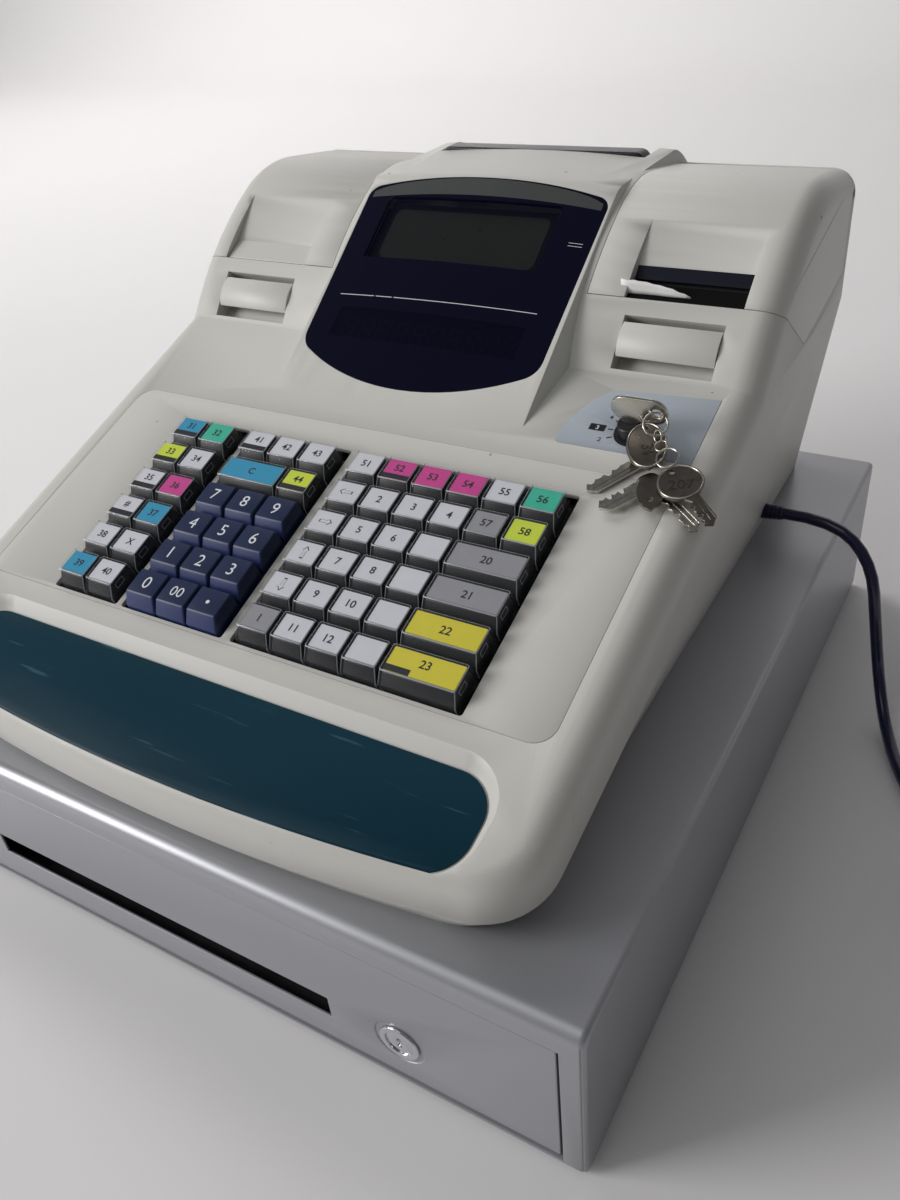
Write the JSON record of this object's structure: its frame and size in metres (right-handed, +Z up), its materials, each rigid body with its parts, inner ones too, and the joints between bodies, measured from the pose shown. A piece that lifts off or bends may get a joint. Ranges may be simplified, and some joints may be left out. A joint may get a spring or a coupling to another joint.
{
  "type": "electronic cash register on a cash drawer",
  "caption": "Electronic cash register with sloping keyboard, printer covers, dark display hump and coin tray on a sliding metal cash drawer.",
  "frame": {"origin": "middle of the drawer unit, on the counter it stands on", "axes": "+X to the operator's right, +Y to the rear, +Z up"},
  "size_m": [0.5935, 0.4386, 0.28],
  "materials": {
    "case_paint": "semi-gloss metallic grey",
    "zinc": "zinc plated",
    "rubber_black": "matt",
    "chrome_lock": "polished",
    "till_black": "matt moulded",
    "body_plastic": "light grey, fine texture",
    "black_plastic": "matt black",
    "visor_glass": "dark smoked, glossy",
    "tray_mat": "dark teal, satin",
    "board_green": "lacquered board",
    "key_navy": "satin navy",
    "key_clear": "clear cap over label",
    "key_cyan": "clear cap over cyan label",
    "key_yellow": "clear cap over yellow label",
    "plate_blue": "printed plate",
    "nickel": "worn nickel plate",
    "paper": "plain paper",
    "roller_rubber": "ground rubber",
    "cord_blue": "glossy jacket"
  },
  "bodies": {
    "cabinet": {"drawer_case": "case_paint", "drawer_base": "case_paint", "case_feet": "rubber_black", "case_rails": "zinc", "latch_solenoid": "zinc", "lower_case": "body_plastic", "upper_case": "body_plastic", "keyboard_panel": "body_plastic", "key_guide": "black_plastic", "key_board": "board_green", "coin_mat": "tray_mat", "visor": "visor_glass", "display_board": "board_green", "main_board": "board_green", "power_supply": "black_plastic", "mode_plate": "plate_blue", "mode_switch": "black_plastic", "customer_display": "black_plastic", "journal_printer": "black_plastic", "receipt_printer": "black_plastic", "receipt_paper": "paper", "strain_relief": "cord_blue", "power_cord": "cord_blue", "cord_coil": "cord_blue", "power_plug": "cord_blue"},
    "drawer": {"drawer_pan": "zinc", "till_insert": "till_black", "drawer_front": "case_paint", "lock_housing": "chrome_lock"},
    "drawer_lock": {"lock_cylinder": "chrome_lock"},
    "bill_clip_rod": {"bill_clips": "zinc"},
    "drawer_catch": {"latch_hook": "zinc"},
    "mode_lock": {"mode_barrel": "black_plastic", "mode_key": "nickel", "key_bunch": "nickel"},
    "journal_lid": {"journal_cover": "body_plastic"},
    "receipt_lid": {"receipt_cover": "body_plastic"},
    "journal_release": {"journal_latch": "body_plastic"},
    "receipt_release": {"receipt_latch": "body_plastic"},
    "platens": {"platen_rollers": "roller_rubber"},
    "rolls": {"paper_rolls": "paper"},
    "take_up": {"journal_spool": "paper"},
    "number_key_1_body": {"number_key_1": "key_navy"},
    "number_key_2_body": {"number_key_2": "key_navy"},
    "number_key_3_body": {"number_key_3": "key_navy"},
    "number_key_4_body": {"number_key_4": "key_navy"},
    "number_key_5_body": {"number_key_5": "key_navy"},
    "number_key_6_body": {"number_key_6": "key_navy"},
    "number_key_7_body": {"number_key_7": "key_navy"},
    "number_key_8_body": {"number_key_8": "key_navy"},
    "number_key_9_body": {"number_key_9": "key_navy"},
    "number_key_0_body": {"number_key_0": "key_navy"},
    "number_key_00_body": {"number_key_00": "key_navy"},
    "number_key_point_body": {"number_key_point": "key_navy"},
    "clear_key_body": {"clear_key": "key_cyan"},
    "subtotal_key_body": {"subtotal_key": "key_yellow"},
    "total_key_body": {"total_key": "key_yellow"},
    "payment_keys_body": {"payment_keys": "key_clear"},
    "function_keys_body": {"function_keys": "key_clear"},
    "department_keys_body": {"department_keys": "key_clear"}
  },
  "joints": [
    {"name": "drawer_slide", "type": "slide", "parent": "cabinet", "child": "drawer", "axis": [0, -1, 0], "range_m": [0, 0.33]},
    {"name": "drawer_lock_turn", "type": "hinge", "parent": "drawer", "child": "drawer_lock", "pos_m": [0.1226, -0.219, 0.0295], "axis": [0, 1, 0], "range_deg": [0, 90]},
    {"name": "bill_clip_lift", "type": "hinge", "parent": "drawer", "child": "bill_clip_rod", "pos_m": [0, 0.1519, 0.056], "axis": [-1, 0, 0], "range_deg": [0, 44], "stiffness_Nm_per_rad": 0.08, "springref_deg": -17.19},
    {"name": "catch_lift", "type": "hinge", "parent": "cabinet", "child": "drawer_catch", "pos_m": [0, 0.197, 0.013], "axis": [-1, 0, 0], "range_deg": [0, 10], "stiffness_Nm_per_rad": 0.05, "springref_deg": -5.73},
    {"name": "mode_turn", "type": "hinge", "parent": "cabinet", "child": "mode_lock", "pos_m": [0.129, 0.01, 0.19842], "axis": [0, -0.3148, 0.9492], "range_deg": [0, 60]},
    {"name": "journal_lid_lift", "type": "hinge", "parent": "cabinet", "child": "journal_lid", "pos_m": [0, 0.196, 0.2641], "axis": [-1, 0, 0], "range_deg": [0, 70]},
    {"name": "receipt_lid_lift", "type": "hinge", "parent": "cabinet", "child": "receipt_lid", "pos_m": [0, 0.196, 0.2641], "axis": [-1, 0, 0], "range_deg": [0, 70]},
    {"name": "journal_release_lift", "type": "hinge", "parent": "cabinet", "child": "journal_release", "pos_m": [0, 0.06442, 0.22679], "axis": [-1, 0, 0], "range_deg": [0, 20], "stiffness_Nm_per_rad": 0.05, "springref_deg": -5.73},
    {"name": "receipt_release_lift", "type": "hinge", "parent": "cabinet", "child": "receipt_release", "pos_m": [0, 0.06442, 0.22679], "axis": [-1, 0, 0], "range_deg": [0, 20], "stiffness_Nm_per_rad": 0.05, "springref_deg": -5.73},
    {"name": "platen_turn", "type": "hinge", "parent": "cabinet", "child": "platens", "pos_m": [0, 0.092, 0.236], "axis": [1, 0, 0], "continuous": true},
    {"name": "roll_turn", "type": "hinge", "parent": "cabinet", "child": "rolls", "pos_m": [0, 0.155, 0.222], "axis": [1, 0, 0], "continuous": true},
    {"name": "take_up_turn", "type": "hinge", "parent": "cabinet", "child": "take_up", "pos_m": [0, 0.118, 0.232], "axis": [1, 0, 0], "continuous": true},
    {"name": "number_key_1_press", "type": "slide", "parent": "cabinet", "child": "number_key_1_body", "axis": [0, 0.3148, -0.9492], "range_m": [0, 0.0035], "stiffness_N_per_m": 300, "springref_m": -0.0015},
    {"name": "number_key_2_press", "type": "slide", "parent": "cabinet", "child": "number_key_2_body", "axis": [0, 0.3148, -0.9492], "range_m": [0, 0.0035], "stiffness_N_per_m": 300, "springref_m": -0.0015},
    {"name": "number_key_3_press", "type": "slide", "parent": "cabinet", "child": "number_key_3_body", "axis": [0, 0.3148, -0.9492], "range_m": [0, 0.0035], "stiffness_N_per_m": 300, "springref_m": -0.0015},
    {"name": "number_key_4_press", "type": "slide", "parent": "cabinet", "child": "number_key_4_body", "axis": [0, 0.3148, -0.9492], "range_m": [0, 0.0035], "stiffness_N_per_m": 300, "springref_m": -0.0015},
    {"name": "number_key_5_press", "type": "slide", "parent": "cabinet", "child": "number_key_5_body", "axis": [0, 0.3148, -0.9492], "range_m": [0, 0.0035], "stiffness_N_per_m": 300, "springref_m": -0.0015},
    {"name": "number_key_6_press", "type": "slide", "parent": "cabinet", "child": "number_key_6_body", "axis": [0, 0.3148, -0.9492], "range_m": [0, 0.0035], "stiffness_N_per_m": 300, "springref_m": -0.0015},
    {"name": "number_key_7_press", "type": "slide", "parent": "cabinet", "child": "number_key_7_body", "axis": [0, 0.3148, -0.9492], "range_m": [0, 0.0035], "stiffness_N_per_m": 300, "springref_m": -0.0015},
    {"name": "number_key_8_press", "type": "slide", "parent": "cabinet", "child": "number_key_8_body", "axis": [0, 0.3148, -0.9492], "range_m": [0, 0.0035], "stiffness_N_per_m": 300, "springref_m": -0.0015},
    {"name": "number_key_9_press", "type": "slide", "parent": "cabinet", "child": "number_key_9_body", "axis": [0, 0.3148, -0.9492], "range_m": [0, 0.0035], "stiffness_N_per_m": 300, "springref_m": -0.0015},
    {"name": "number_key_0_press", "type": "slide", "parent": "cabinet", "child": "number_key_0_body", "axis": [0, 0.3148, -0.9492], "range_m": [0, 0.0035], "stiffness_N_per_m": 300, "springref_m": -0.0015},
    {"name": "number_key_00_press", "type": "slide", "parent": "cabinet", "child": "number_key_00_body", "axis": [0, 0.3148, -0.9492], "range_m": [0, 0.0035], "stiffness_N_per_m": 300, "springref_m": -0.0015},
    {"name": "number_key_point_press", "type": "slide", "parent": "cabinet", "child": "number_key_point_body", "axis": [0, 0.3148, -0.9492], "range_m": [0, 0.0035], "stiffness_N_per_m": 300, "springref_m": -0.0015},
    {"name": "clear_key_press", "type": "slide", "parent": "cabinet", "child": "clear_key_body", "axis": [0, 0.3148, -0.9492], "range_m": [0, 0.0035], "stiffness_N_per_m": 300, "springref_m": -0.0015},
    {"name": "subtotal_key_press", "type": "slide", "parent": "cabinet", "child": "subtotal_key_body", "axis": [0, 0.3148, -0.9492], "range_m": [0, 0.0035], "stiffness_N_per_m": 300, "springref_m": -0.0015},
    {"name": "total_key_press", "type": "slide", "parent": "cabinet", "child": "total_key_body", "axis": [0, 0.3148, -0.9492], "range_m": [0, 0.0035], "stiffness_N_per_m": 300, "springref_m": -0.0015},
    {"name": "payment_keys_press", "type": "slide", "parent": "cabinet", "child": "payment_keys_body", "axis": [0, 0.3148, -0.9492], "range_m": [0, 0.0035], "stiffness_N_per_m": 300, "springref_m": -0.0015},
    {"name": "function_keys_press", "type": "slide", "parent": "cabinet", "child": "function_keys_body", "axis": [0, 0.3148, -0.9492], "range_m": [0, 0.0035], "stiffness_N_per_m": 300, "springref_m": -0.0015},
    {"name": "department_keys_press", "type": "slide", "parent": "cabinet", "child": "department_keys_body", "axis": [0, 0.3148, -0.9492], "range_m": [0, 0.0035], "stiffness_N_per_m": 300, "springref_m": -0.0015}
  ]
}
